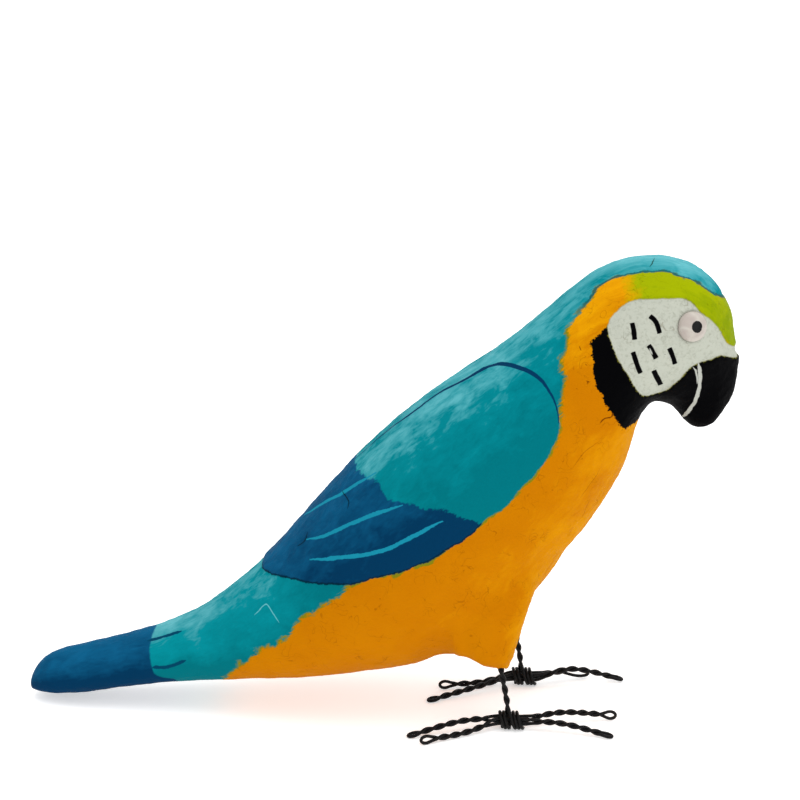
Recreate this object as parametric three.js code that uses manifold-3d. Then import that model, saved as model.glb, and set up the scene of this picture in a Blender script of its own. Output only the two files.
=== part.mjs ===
// A papier-mache macaw that stands on two feet of twisted wire.
// Millimetres, +Z up. The bird faces +X and its left side is +Y. The origin is on the ground, in the middle of
// the bird's length and width.

import * as THREE from "three";
import { mergeVertices } from "three/addons/utils/BufferGeometryUtils.js";
import Module from "manifold-3d";

const wasm = await Module();
wasm.setup();

// Driving dimensions
const LENGTH = 300; // tail tip to the front of the beak
const WIDTH = 78; // across the breast, wings left out
const WING_THICKNESS = 1.6; // how far a wing stands out from the side
const WING_EDGE = 9; // the width over which its rim rounds down
const LEG_SPACING = 44; // between the two ankles
const LEG_SOCKET = 8; // how deep a leg is set into its thigh
const EYE_DIAMETER = 12;
const EYE_DOME = 3.6; // how far an eye stands out of the head
const EYE_SEAT = 2; // how deep its back is let into the head
const WIRE = 1.4; // diameter of every wire
const TWIST = 10.5; // length of one full turn of a twisted pair
const TWIST_SLACK = 1.01; // from a twisted pair's axis to each strand's, in shares of its radius
const COIL_TURNS = 2.25; // on each side of the leg
const COIL_GAP = 1.8; // between the two coils of an ankle
const COIL_SPREAD = 1.1; // from one turn to the next, in shares of WIRE
const COIL_SLANT = 16; // how far the turns lean back from upright, in degrees
const COIL_ENTRY = 0.8; // how high over the ankle a strand enters its coil, in shares of the coil's radius
const LEG_SPLIT = 2.6; // how far above the coil the leg's strands part, in shares of WIRE
const STRAND_OFFSET = 1.25; // from a bundle's axis to each strand's under the ankle, sideways and upwards
const TOE_OPENING = 5; // length over which a toe's strands close up beside the ankle
const EYELET_LENGTH = 6.8; // of the loop at a toe's tip
const EYELET_WIDTH = 4.6;
const EYELET_OPEN = 0.9; // the share of an eyelet's length that lies beyond the twist
const BOW_PLACE = 0.4; // where a toe bows up, as a share of its length
const CLEARANCE = 0.3; // left round each piece that sits in another

// How finely the solids are faceted
const BODY_RINGS = 42;
const BODY_SIDES = 36;
const THIGH_SIDES = 16;
const EYE_SIDES = 20;
const WIRE_SIDES = 5;
const STEPS_PER_TURN = 6;
const STEPS_PER_COIL = 8;

const RADIUS = WIRE / 2;
const PAIR_RADIUS = (TWIST_SLACK * RADIUS) / Math.cos(Math.PI / STEPS_PER_TURN);
const COIL_RADIUS = STRAND_OFFSET * Math.SQRT2 + WIRE + CLEARANCE;
const COIL_PITCH = COIL_SPREAD * WIRE;
const COIL_SHIFT = Math.tan(THREE.MathUtils.degToRad(COIL_SLANT));
const COIL_END = COIL_GAP / 2 + COIL_TURNS * COIL_PITCH + COIL_SHIFT * COIL_RADIUS;
const ANKLE_HEIGHT = COIL_RADIUS + RADIUS;
const UP = new THREE.Vector3(0, 0, 1);

// Sections of the body from the tail to the beak. back and belly are a section's two ends in the side view, in
// percent of LENGTH, and width is across it, in percent of WIDTH. A positive low widens it towards the belly.
const SECTIONS = [
  { at: "tail tip", back: [-50, 3.3], belly: [-50, 1.4], width: 12, low: 0 },
  { at: "tail end", back: [-47.7, 6.6], belly: [-47.3, 0.8], width: 27, low: 0.1 },
  { at: "tail", back: [-41.2, 8.5], belly: [-41, 1.5], width: 34, low: 0.15 },
  { at: "tail root", back: [-30.8, 11.4], belly: [-30, 3.5], width: 40, low: 0.15 },
  { at: "rump", back: [-22.6, 15.7], belly: [-19.4, 4.3], width: 56, low: 0.15 },
  { at: "wing tips", back: [-14.9, 22.8], belly: [-7.7, 5.3], width: 75, low: 0.12 },
  { at: "loin", back: [-10.4, 28.1], belly: [-1.3, 6.2], width: 85, low: 0.1 },
  { at: "lower back", back: [-2.4, 37.4], belly: [10, 8.2], width: 97, low: 0.05 },
  { at: "back", back: [5.4, 44.9], belly: [18.4, 14.1], width: 100, low: 0 },
  { at: "shoulders", back: [13.2, 50.6], belly: [24.8, 21.5], width: 98, low: 0 },
  { at: "mantle", back: [20.8, 56.2], belly: [30.7, 29.5], width: 89, low: 0 },
  { at: "neck", back: [28.1, 62.9], belly: [34.55, 36.55], width: 78, low: 0 },
  { at: "nape", back: [31.9, 65.2], belly: [35.65, 40.75], width: 75, low: 0 },
  { at: "throat", back: [35.6, 66.3], belly: [36.5, 44.25], width: 73, low: 0 },
  { at: "crown", back: [39.5, 66.4], belly: [38, 46.3], width: 71, low: -0.05 },
  { at: "cheek", back: [43.3, 65.3], belly: [39, 46.4], width: 67, low: -0.05 },
  { at: "brow", back: [46.5, 62.9], belly: [39.9, 46.3], width: 60, low: 0 },
  { at: "forehead", back: [48.4, 59.2], belly: [40.6, 46], width: 50, low: 0 },
  { at: "face", back: [49.15, 55.4], belly: [41.5, 45.3], width: 39, low: 0 },
  { at: "beak base", back: [49.8, 53], belly: [42.3, 44.3], width: 32, low: 0 },
  { at: "bill", back: [49.93, 50.2], belly: [43.2, 43.3], width: 27, low: 0 },
  { at: "hook", back: [49.4, 47.2], belly: [43.9, 42.9], width: 22, low: 0 },
  { at: "hook end", back: [47.9, 44.7], belly: [44.6, 42.8], width: 16, low: 0 },
  { at: "beak tip", back: [46.2, 43.2], belly: [45.2, 42.85], width: 8, low: 0 },
];

// A wing's rim in the side view, in percent of LENGTH: along the back from the tip, then round the shoulder.
const WING_RIM = [
  [-15, 22.4],
  [-9.5, 28.2],
  [-1.8, 37],
  [5.8, 44],
  [13, 49.6],
  [18.5, 52.4],
  [22.6, 52],
  [25, 48],
  [24.9, 43.5],
  [21.2, 38],
  [16.2, 33],
  [8.5, 27.3],
  [-0.5, 23.6],
  [-9.3, 21.8],
];

// Cross-sections of a thigh from its foot up, in percent of LENGTH: z, the middle's setback from where the leg
// comes out, and the half lengths along and across the bird.
const THIGH = [
  { z: 9.5, setback: 0, along: 0.8, across: 0.8 },
  { z: 10.15, setback: 1.1, along: 1.95, across: 1.7 },
  { z: 10.6, setback: 1.6, along: 2.5, across: 2.2 },
  { z: 11.5, setback: 1.95, along: 3.45, across: 3 },
  { z: 13, setback: 2.1, along: 4.45, across: 3.6 },
  { z: 15.5, setback: 2.1, along: 4.9, across: 3.8 },
  { z: 18.5, setback: 1.3, along: 5, across: 3.6 },
  { z: 21, setback: -0.9, along: 3.5, across: 3 },
  { z: 23, setback: -2.2, along: 2, across: 1.8 },
];

// Where the legs and toes stand, in percent of LENGTH. thigh, where the leg comes out, and ankle are measured along
// the bird, and a toe's tip from its ankle, forwards and to the bird's left. arch is how far the toe bows up on its
// way there, and lean how steeply its eyelet stands, in degrees.
const FEET = [
  {
    side: "right",
    sign: -1,
    thigh: 18.3,
    ankle: 19.8,
    toes: {
      inner: { front: { tip: [15.2, 3.5], arch: 0.8, lean: 75 }, rear: { tip: [-14.5, -3.6], arch: 0.7, lean: 0 } },
      outer: { front: { tip: [14.4, -2.2], arch: 0.7, lean: 0 }, rear: { tip: [-12.6, -5.85], arch: -0.5, lean: 100 } },
    },
  },
  {
    side: "left",
    sign: 1,
    thigh: 20.4,
    ankle: 21.8,
    toes: {
      inner: { front: { tip: [15, 2.1], arch: 1.5, lean: 0 }, rear: { tip: [-14.1, -6.8], arch: 0, lean: 0 } },
      outer: {
        front: { tip: [10.1, 3], arch: 0.4, lean: 60, stretch: 1.9 },
        rear: { tip: [-12.6, -2.4], arch: -0.5, lean: 100 },
      },
    },
  },
];

// The eye's middle in the side view, in percent of LENGTH.
const EYE = { middle: [42.6, 58.7] };

const ofLength = (percent) => (percent * LENGTH) / 100;
const sideView = ([x, z]) => new THREE.Vector2(ofLength(x), ofLength(z));

// A closed surface through rings of equally many points, with a point at each end.
function skin(rings, start, end) {
  const sides = rings[0].length;
  const points = [start, ...rings.flat(), end];
  const last = points.length - 1;
  const at = (ring, side) => 1 + ring * sides + (side % sides);
  const faces = [];
  for (let side = 0; side < sides; side++) {
    faces.push(0, at(0, side), at(0, side + 1));
    for (let ring = 0; ring < rings.length - 1; ring++) {
      const [a, b] = [at(ring, side), at(ring, side + 1)];
      const [c, d] = [at(ring + 1, side), at(ring + 1, side + 1)];
      faces.push(a, c, b, b, c, d);
    }
    faces.push(last, at(rings.length - 1, side + 1), at(rings.length - 1, side));
  }
  const geometry = new THREE.BufferGeometry().setFromPoints(points);
  geometry.setIndex(faces);
  return geometry;
}

// A manifold-3d solid from a closed geometry.
function solid(geometry) {
  const bare = geometry.clone();
  bare.deleteAttribute("normal");
  bare.deleteAttribute("uv");
  const merged = mergeVertices(bare, 1e-4);
  const triVerts = new Uint32Array(merged.index.array);
  return new wasm.Manifold(new wasm.Mesh({ numProp: 3, vertProperties: merged.attributes.position.array, triVerts }));
}

// The geometry of a manifold-3d solid.
function geometryOf(made) {
  const { vertProperties, triVerts } = made.getMesh();
  const geometry = new THREE.BufferGeometry();
  geometry.setAttribute("position", new THREE.BufferAttribute(vertProperties, 3));
  geometry.setIndex(new THREE.BufferAttribute(triVerts, 1));
  return geometry;
}

// How far inside a closed outline a point lies: positive within, negative outside.
function depthInside(point, outline) {
  let nearest = Infinity;
  let inside = false;
  outline.forEach((a, i) => {
    const b = outline[(i + 1) % outline.length];
    const along = b.clone().sub(a);
    const share = THREE.MathUtils.clamp(point.clone().sub(a).dot(along) / along.lengthSq(), 0, 1);
    nearest = Math.min(nearest, point.distanceTo(a.clone().addScaledVector(along, share)));
    const crosses = a.y > point.y !== b.y > point.y;
    if (crosses && point.x < a.x + ((point.y - a.y) * along.x) / along.y) inside = !inside;
  });
  return inside ? nearest : -nearest;
}

// The body's surface, wings included, before the thighs are added.
function torso() {
  const back = new THREE.SplineCurve(SECTIONS.map((section) => sideView(section.back)));
  const belly = new THREE.SplineCurve(SECTIONS.map((section) => sideView(section.belly)));
  const girth = new THREE.SplineCurve(
    SECTIONS.map((section) => new THREE.Vector2((section.width * WIDTH) / 200, section.low)),
  );
  const rim = new THREE.SplineCurve([...WING_RIM, WING_RIM[0]].map(sideView)).getPoints(4 * WING_RIM.length);
  rim.pop();
  const rings = Array.from({ length: BODY_RINGS }, (_, ring) => {
    const share = ring / (BODY_RINGS - 1);
    const [top, bottom] = [back.getPoint(share), belly.getPoint(share)];
    const [halfWidth, low] = girth.getPoint(share).toArray();
    const middle = top.clone().add(bottom).divideScalar(2);
    const reach = top.clone().sub(middle);
    return Array.from({ length: BODY_SIDES }, (_, side) => {
      const turn = (2 * Math.PI * side) / BODY_SIDES;
      const [up, out] = [Math.cos(turn), side % (BODY_SIDES / 2) ? Math.sin(turn) : 0];
      const spot = middle.clone().addScaledVector(reach, up);
      const wing = THREE.MathUtils.smoothstep(depthInside(spot, rim), 0, WING_EDGE) * WING_THICKNESS;
      return new THREE.Vector3(spot.x, halfWidth * out * (1 - low * up) + Math.sign(out) * wing, spot.y);
    });
  });
  const middleOf = (ring) => ring.reduce((sum, point) => sum.add(point), new THREE.Vector3()).divideScalar(BODY_SIDES);
  return skin(rings, middleOf(rings[0]), middleOf(rings.at(-1)));
}

const thighEnd = (foot) =>
  new THREE.Vector3(ofLength(foot.thigh), (foot.sign * LEG_SPACING) / 2, ofLength(THIGH[0].z));
const ankleOf = (foot) => new THREE.Vector3(ofLength(foot.ankle), (foot.sign * LEG_SPACING) / 2, ANKLE_HEIGHT);

function thigh(foot) {
  const end = thighEnd(foot);
  const middles = THIGH.map(({ z, setback }) => new THREE.Vector3(end.x - ofLength(setback), end.y, ofLength(z)));
  const rings = THIGH.map(({ along, across }, row) =>
    Array.from({ length: THIGH_SIDES }, (_, side) => {
      const turn = (2 * Math.PI * side) / THIGH_SIDES;
      const out = new THREE.Vector3(along * Math.cos(turn), -across * Math.sin(turn), 0);
      return out.multiplyScalar(LENGTH / 100).add(middles[row]);
    }),
  );
  return skin(rings, end, middles.at(-1));
}

// The hole a leg is set into, along the leg's own line.
function legSocket(foot) {
  const [end, down] = [thighEnd(foot), ankleOf(foot).sub(thighEnd(foot)).normalize()];
  const radius = PAIR_RADIUS + RADIUS + CLEARANCE;
  const socket = new THREE.CylinderGeometry(radius, radius, 2 * LEG_SOCKET, 12);
  const turned = new THREE.Quaternion().setFromUnitVectors(new THREE.Vector3(0, 1, 0), down);
  return socket.applyQuaternion(turned).translate(end.x, end.y, end.z);
}

// Where the right eye's middle meets the head, and the way the head faces there.
function eyePlace(torsoSkin) {
  const head = new THREE.Mesh(torsoSkin, new THREE.MeshBasicMaterial());
  const [x, z] = sideView(EYE.middle).toArray();
  const reach = EYE_DIAMETER / 4;
  const inwards = new THREE.Vector3(0, 1, 0);
  const meet = (dx, dz) => {
    const from = new THREE.Vector3(x + dx, -WIDTH, z + dz);
    return new THREE.Raycaster(from, inwards).intersectObject(head)[0].point;
  };
  const along = meet(reach, 0).sub(meet(-reach, 0));
  const upwards = meet(0, reach).sub(meet(0, -reach));
  return { point: meet(0, 0), normal: along.cross(upwards).normalize() };
}

// Moves a shape made round +Z about the origin to the right eye's place, or mirrors it to the left one's.
function atEye(geometry, place, sign) {
  geometry.applyQuaternion(new THREE.Quaternion().setFromUnitVectors(UP, place.normal));
  geometry.translate(...place.point.toArray());
  return sign < 0 ? solid(geometry) : solid(geometry).mirror([0, 1, 0]);
}

function eyeSeat() {
  const radius = EYE_DIAMETER / 2 + CLEARANCE;
  return new THREE.CylinderGeometry(radius, radius, 2 * EYE_SEAT, EYE_SIDES).rotateX(Math.PI / 2);
}

// A domed bead with a flat back, standing off the floor of its seat.
function eyeBead() {
  const [radius, back] = [EYE_DIAMETER / 2, CLEARANCE - EYE_SEAT];
  const profile = [new THREE.Vector2(0, back), new THREE.Vector2(radius, back)];
  for (let step = 0; step <= 4; step++) {
    const turn = (step * Math.PI) / 8;
    profile.push(new THREE.Vector2(step < 4 ? radius * Math.cos(turn) : 0, EYE_DOME * Math.sin(turn)));
  }
  return new THREE.LatheGeometry(profile, EYE_SIDES).rotateX(Math.PI / 2);
}

// A route that steps from one of its points to the next, so that tight bends keep theirs.
class Route extends THREE.CatmullRomCurve3 {
  getUtoTmapping(share) {
    return share;
  }
}

// A round wire along points: an endless one when closed, or else one with two flat ends.
function wire(points, closed) {
  const steps = closed ? points.length : points.length - 1;
  const tube = new THREE.TubeGeometry(new Route(points, closed), steps, RADIUS, WIRE_SIDES, closed);
  if (closed) return tube;
  const at = tube.attributes.position;
  const rings = points.map((_, ring) =>
    Array.from({ length: WIRE_SIDES }, (_, side) =>
      new THREE.Vector3().fromBufferAttribute(at, ring * (WIRE_SIDES + 1) + side),
    ),
  );
  return skin(rings, points[0], points.at(-1));
}

// A point beside an axis: offset from it at an angle that turns from level, to its left, upwards.
function beside(point, tangent, offset, angle) {
  const left = UP.clone().cross(tangent).normalize();
  const above = tangent.clone().cross(left);
  const moved = point.clone().addScaledVector(left, offset * Math.cos(angle));
  return moved.addScaledVector(above, offset * Math.sin(angle));
}

// One toe's two strands from beside the ankle's middle out to the tip, and the eyelet that joins them there.
function toe(start, ankle, { tip, arch, lean, stretch = 1 }) {
  const [length, width] = [EYELET_LENGTH * stretch - WIRE, EYELET_WIDTH - WIRE];
  const endAngle = THREE.MathUtils.degToRad(lean);
  const leave = start.clone().add(new THREE.Vector3(Math.sign(tip[0]) * COIL_END, 0, 0));
  const end = new THREE.Vector3(ankle.x + ofLength(tip[0]), ankle.y + ofLength(tip[1]), RADIUS);
  end.z += (width / 2) * Math.sin(endAngle);
  const bow = leave.clone().lerp(end, BOW_PLACE);
  bow.z += ofLength(arch);
  const axis = new THREE.CatmullRomCurve3([start, leave, bow, end]);
  const reach = axis.getLength();
  const closeUp = COIL_END + TOE_OPENING;
  const eyelet = reach - RADIUS - EYELET_OPEN * length;
  const halfTurns = Math.round((2 * (eyelet - closeUp)) / TWIST - 0.5 + endAngle / Math.PI);
  const twist = Math.PI / 2 - endAngle + halfTurns * Math.PI;
  const steps = Math.max(1, Math.round((twist * STEPS_PER_TURN) / (2 * Math.PI)));
  const strand = (sign) => {
    const spot = (along, offset, angle) =>
      beside(axis.getPointAt(along / reach), axis.getTangentAt(along / reach), sign * offset, angle);
    const straight = [0.5 * COIL_END, COIL_END, COIL_END + TOE_OPENING / 2];
    const points = straight.map((along) => spot(along, STRAND_OFFSET, Math.PI / 2));
    for (let step = 0; step <= steps; step++) {
      const along = closeUp + (step / steps) * (eyelet - closeUp);
      points.push(spot(along, PAIR_RADIUS, Math.PI / 2 - (step / steps) * twist));
    }
    return points;
  };
  const [tipPoint, tipWay] = [axis.getPointAt(1), axis.getTangentAt(1)];
  const loop = [108, 72, 36, 0, -36, -72, -108].map((degrees) => {
    const turn = THREE.MathUtils.degToRad(degrees);
    const middle = tipPoint.clone().addScaledVector(tipWay, (length / 2) * (Math.cos(turn) - 1) - RADIUS);
    return beside(middle, tipWay, (width / 2) * Math.sin(turn), Math.PI / 2 - twist);
  });
  return [...strand(1), ...loop, ...strand(-1).reverse()];
}

// An endless wire folded into a front and a rear toe. side is where it lies under the ankle, to the bird's left.
function toes(foot, side, { front, rear }) {
  const ankle = ankleOf(foot);
  const start = ankle.clone().add(new THREE.Vector3(0, side * STRAND_OFFSET, 0));
  return wire([...toe(start, ankle, front), ...toe(start, ankle, rear).reverse()], true);
}

// One wire folded double in the thigh and twisted down to the ankle, each end coiled round the toes.
function leg(foot) {
  const ankle = ankleOf(foot);
  const down = ankle.clone().sub(thighEnd(foot)).normalize();
  const top = thighEnd(foot).addScaledVector(down, CLEARANCE + RADIUS - LEG_SOCKET);
  const split = ankle.clone().addScaledVector(down, -COIL_RADIUS - LEG_SPLIT * WIRE);
  const reach = top.distanceTo(split);
  const halfTurns = Math.round((2 * reach) / TWIST);
  const steps = Math.round((halfTurns * STEPS_PER_TURN) / 2);
  const coilSteps = Math.round(COIL_TURNS * STEPS_PER_COIL);
  const half = (sign) => {
    const points = [];
    for (let step = 0; step <= steps; step++) {
      const turn = Math.PI * halfTurns * (1 - step / steps);
      const offset = new THREE.Vector3(Math.sin(turn), Math.cos(turn), 0).multiplyScalar(sign * PAIR_RADIUS);
      points.push(offset.add(top).addScaledVector(down, RADIUS + (step / steps) * (reach - RADIUS)));
    }
    const rise = COIL_ENTRY * COIL_RADIUS;
    points.push(new THREE.Vector3((-sign * COIL_GAP) / 2 - COIL_SHIFT * rise, sign * rise, rise).add(ankle));
    for (let step = 0; step <= coilSteps; step++) {
      const turn = (2 * Math.PI * step) / STEPS_PER_COIL;
      const along = COIL_GAP / 2 + (COIL_PITCH * step) / STEPS_PER_COIL;
      const [out, up] = [COIL_RADIUS * Math.cos(turn), -COIL_RADIUS * Math.sin(turn)];
      points.push(new THREE.Vector3(-sign * along - COIL_SHIFT * up, sign * out, up).add(ankle));
    }
    return points;
  };
  return wire([...half(1).reverse(), top, ...half(-1)], false);
}

const COLOURS = { paper: 0x0f8f96, bead: 0xe8e6df, wire: 0x0b0b0c };
const group = new THREE.Group();

function addPiece(name, made, color, roughness, metalness) {
  const faceted = geometryOf(made).toNonIndexed();
  faceted.computeVertexNormals();
  const mesh = new THREE.Mesh(faceted, new THREE.MeshStandardMaterial({ color, roughness, metalness }));
  mesh.name = name;
  group.add(mesh);
}

const torsoSkin = torso();
const place = eyePlace(torsoSkin);
let body = solid(torsoSkin);
for (const foot of FEET) {
  body = body.add(solid(thigh(foot)));
  body = body.subtract(solid(legSocket(foot)));
  body = body.subtract(atEye(eyeSeat(), place, foot.sign));
}
addPiece("body", body, COLOURS.paper, 0.6, 0);

for (const foot of FEET) {
  addPiece(`eye_${foot.side}`, atEye(eyeBead(), place, foot.sign), COLOURS.bead, 0.15, 0);
  addPiece(`leg_${foot.side}`, solid(leg(foot)), COLOURS.wire, 0.5, 0.6);
  for (const [name, pair] of Object.entries(foot.toes)) {
    const side = name === "inner" ? -foot.sign : foot.sign;
    addPiece(`toes_${foot.side}_${name}`, solid(toes(foot, side, pair)), COLOURS.wire, 0.5, 0.6);
  }
}

export default group;
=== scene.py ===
"""The papier-mache macaw's looks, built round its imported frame: painted paper, bead eyes and wire feet."""

import logging
import math
from dataclasses import dataclass
from enum import Enum

import bmesh
import bpy
import numpy as np
from mathutils import Matrix, Vector, noise


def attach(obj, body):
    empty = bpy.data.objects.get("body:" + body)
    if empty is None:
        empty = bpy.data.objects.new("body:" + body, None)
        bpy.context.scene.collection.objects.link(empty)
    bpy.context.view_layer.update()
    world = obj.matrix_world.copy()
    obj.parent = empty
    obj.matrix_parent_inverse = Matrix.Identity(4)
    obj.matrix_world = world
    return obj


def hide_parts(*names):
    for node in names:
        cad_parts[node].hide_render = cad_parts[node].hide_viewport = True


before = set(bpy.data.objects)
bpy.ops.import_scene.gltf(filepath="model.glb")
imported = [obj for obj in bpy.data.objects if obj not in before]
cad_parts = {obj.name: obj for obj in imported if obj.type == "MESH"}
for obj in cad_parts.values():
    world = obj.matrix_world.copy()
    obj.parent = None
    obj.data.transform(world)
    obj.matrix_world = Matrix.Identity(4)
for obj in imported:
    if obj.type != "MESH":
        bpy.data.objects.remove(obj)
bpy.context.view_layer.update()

log = logging.getLogger("macaw")

MM = 0.001
LENGTH = 300 * MM
LEG_SPACING = 44 * MM
PERCENT = LENGTH / 100
SHAKE_SEED = 7  # of the wires' unevenness, which would start from the clock otherwise

Points = tuple[tuple[float, ...], ...]
Colour = tuple[float, float, float, float]


def paint(red: int, green: int, blue: int) -> Colour:
    """A paint's linear colour.

    Args:
        red: its red on a screen, 0 to 255.
        green: its green.
        blue: its blue.

    Returns:
        The linear colour with an alpha of one.
    """
    shares = [value / 255 for value in (red, green, blue)]
    linear = [s / 12.92 if s <= 0.04045 else ((s + 0.055) / 1.055) ** 2.4 for s in shares]
    return (*linear, 1.0)


def smoothstep(value: np.ndarray, low: float, high: float) -> np.ndarray:
    """An eased step from 0 at low to 1 at high.

    Args:
        value: where it is wanted.
        low: where it leaves 0.
        high: where it reaches 1.

    Returns:
        The step's height at each value.
    """
    share = np.clip((value - low) / (high - low), 0, 1)
    return share * share * (3 - 2 * share)


class Side(Enum):
    """The bird's two sides, with the sign of their y."""

    RIGHT = -1
    LEFT = 1


# The painted shapes and lines, in the side view, in percent of the bird's length.

WING: Points = (
    (-15.6, 22.0), (-12.0, 27.6), (-7.5, 32.5), (-2.7, 37.3), (1.3, 41.0), (5.6, 44.9), (9.5, 47.8),
    (13.0, 50.1), (15.4, 51.6), (17.6, 52.4), (20.0, 52.6), (22.6, 51.8), (24.3, 50.0), (25.2, 47.4),
    (25.3, 44.9), (24.0, 41.8), (22.3, 39.3), (20.1, 36.9), (18.5, 34.8), (16.2, 33.3), (13.6, 30.6),
    (11.4, 29.2), (8.5, 27.3), (4.4, 25.2), (1.4, 24.4), (-0.9, 23.4), (-2.7, 22.9), (-5.8, 22.5),
    (-9.3, 22.2), (-11.2, 22.1), (-13.6, 21.8),
)
FLIGHTS: Points = (
    (-2.7, 38.5), (-1.8, 37.0), (0.2, 36.6), (1.8, 36.3), (3.1, 34.9), (4.9, 34.8), (7.9, 34.5),
    (10.7, 34.3), (13.1, 33.5), (15.1, 32.7), (18.0, 31.0), (15.0, 15.0), (-20.0, 15.0), (-22.0, 30.0),
    (-8.0, 40.0),
)
BREAST: Points = (
    (-21.5, 4.6), (-20.0, 6.9), (-17.3, 9.7), (-15.9, 11.0), (-14.5, 12.4), (-12.6, 13.0), (-11.4, 13.9),
    (-10.4, 15.6), (-9.8, 16.5), (-7.5, 18.4), (-4.1, 21.0), (-2.3, 22.7), (2.0, 28.0), (10.0, 35.0),
    (20.0, 42.0), (24.6, 42.9), (25.5, 46.0), (25.7, 48.6), (26.1, 51.6), (25.8, 52.9), (25.9, 54.6),
    (26.4, 56.0), (26.7, 58.3), (27.7, 59.6), (29.3, 61.5), (30.8, 63.2), (32.5, 64.1), (34.3, 64.7),
    (36.5, 65.1), (38.5, 65.2), (39.5, 65.1), (40.8, 64.6), (42.6, 64.1), (44.7, 62.8), (46.9, 61.4),
    (48.6, 60.4), (60.0, 58.0), (60.0, -5.0), (-30.0, -5.0),
)
BROW: Points = (
    (35.3, 75.0), (35.3, 61.0), (37.1, 60.6), (40.0, 60.5), (43.0, 59.4), (46.0, 56.5), (47.9, 54.2),
    (49.4, 53.6), (60.0, 53.4), (60.0, 75.0),
)
FACE: Points = (
    (31.5, 58.8), (32.3, 60.2), (34.5, 61.8), (37.1, 62.2), (40.5, 62.3), (42.2, 61.8), (43.6, 60.4),
    (45.4, 59.0), (46.65, 57.45), (47.5, 55.9), (48.9, 54.6), (52.0, 54.1), (52.0, 53.1), (49.3, 53.1),
    (46.9, 54.0), (45.6, 53.8), (43.9, 53.5), (42.8, 53.0), (41.3, 51.2), (39.9, 49.6), (38.7, 48.9),
    (37.1, 48.9), (36.0, 49.6), (34.4, 52.2), (32.5, 55.4), (31.6, 57.9),
)
BEARD: Points = (
    (31.5, 58.6), (30.4, 57.6), (29.5, 56.5), (29.7, 53.9), (30.1, 51.3), (30.7, 50.1), (32.1, 47.5),
    (33.1, 45.9), (33.9, 44.9), (34.9, 44.7), (36.2, 44.9), (39.0, 40.0), (60.0, 38.0), (60.0, 53.3),
    (49.3, 53.6), (46.0, 55.0), (40.0, 56.0), (33.5, 58.0),
)
FEATHERS: tuple[Points, ...] = (
    ((-9.7, 28.8), (-6.35, 31.8), (-3.2, 34.2), (-1.0, 35.95), (1.1, 37.5)),
    ((-8.7, 27.2), (-6.0, 28.5), (-2.9, 30.5), (0.1, 32.2), (3.1, 33.7), (4.9, 34.45)),
    ((-8.0, 25.2), (-4.3, 26.2), (-0.4, 27.3), (3.2, 28.7), (6.7, 30.8), (10.3, 33.0)),
)
DASHES: tuple[Points, ...] = (
    ((-32.2, 10.2), (-30.0, 10.9), (-27.1, 12.1)),
    ((-31.2, 7.2), (-28.6, 7.6), (-26.1, 8.8)),
)
CHEEK: tuple[Points, ...] = (
    ((34.65, 59.3), (34.8, 58.6), (35.0, 57.1)),
    ((36.9, 60.2), (37.5, 59.7), (37.85, 59.2), (38.25, 57.95)),
    ((34.8, 55.5), (36.05, 52.45)),
    ((36.85, 56.4), (37.35, 55.7), (38.0, 54.5)),
    ((39.6, 55.9), (40.05, 55.05), (40.6, 53.5)),
    ((37.8, 52.75), (38.95, 50.2)),
)
NICKS: tuple[Points, ...] = (
    ((37.0, 55.95), (37.3, 55.35), (37.45, 55.1)),
    ((39.5, 55.05), (39.8, 54.55), (40.0, 54.2)),
)
MOUTH: tuple[Points, ...] = (
    ((43.75, 53.5), (44.0, 52.0), (44.15, 50.6), (44.1, 48.8), (43.85, 47.4), (43.35, 46.2), (42.5, 44.3)),
)
LIP: tuple[Points, ...] = (((42.95, 53.0), (43.4, 52.4), (43.7, 51.3), (43.8, 50.3)),)
MARKS: tuple[Points, ...] = (
    ((32.2, 47.9), (32.4, 47.1), (32.2, 46.7), (31.3, 46.6), (30.8, 46.0)),
    ((27.9, 55.95), (28.1, 55.4)),
    ((28.65, 53.8), (28.9, 53.6)),
    ((28.8, 51.65), (29.35, 51.55)),
    ((28.95, 51.3), (29.25, 51.0)),
    ((27.5, 50.65), (27.7, 50.6)),
    ((-8.5, 28.1), (-8.9, 27.0), (-10.0, 26.0)),
    ((-3.8, 34.0), (-2.7, 33.35), (-2.75, 32.4)),
    ((37.1, 65.6), (37.9, 66.3)),
)
CREASES: tuple[Points, ...] = (
    ((27.3, 39.9), (28.95, 42.2), (30.9, 43.5)),
    ((28.6, 35.2), (30.3, 37.7), (31.1, 39.2)),
    ((29.0, 31.5), (29.6, 33.6), (30.0, 34.6)),
)
SCRATCHES: tuple[Points, ...] = (
    ((-16.1, 16.4), (-14.5, 18.1), (-14.0, 18.0), (-12.35, 16.2)),
)
# The dark line along a wing's edge, in space: along the bird, out to its side, and up.
RIM: Points = (
    (-2.6, 0.8, 37.0), (1.4, 1.4, 41.0), (5.6, 2.4, 44.6), (9.15, 2.3, 47.4), (12.7, 3.2, 49.6),
    (15.6, 3.7, 51.5), (17.6, 4.6, 52.4), (20.2, 6.9, 52.5), (22.5, 8.7, 51.8), (23.9, 9.8, 50.4),
    (24.85, 10.6, 48.7), (25.3, 11.0, 47.0), (25.3, 11.3, 45.9),
)
# The body's own middle line, which the brush marks follow.
SPINE: Points = (
    (-62.0, 1.5), (-50.0, 2.5), (-40.0, 5.0), (-28.0, 8.0), (-18.0, 13.0), (-8.0, 18.5), (2.0, 25.0),
    (11.0, 33.0), (20.0, 42.0), (27.0, 49.0), (34.0, 54.5), (41.0, 56.0), (47.0, 52.0), (49.0, 46.0),
    (50.0, 36.0),
)
TAIL: Points = (
    (-31.1, 20.0), (-31.15, 12.4), (-31.6, 10.6), (-31.65, 9.4), (-31.25, 7.6), (-30.8, 6.3), (-29.5, 5.6),
    (-28.0, 5.2), (-28.0, 0.0), (-60.0, 0.0), (-60.0, 20.0),
)


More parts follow.
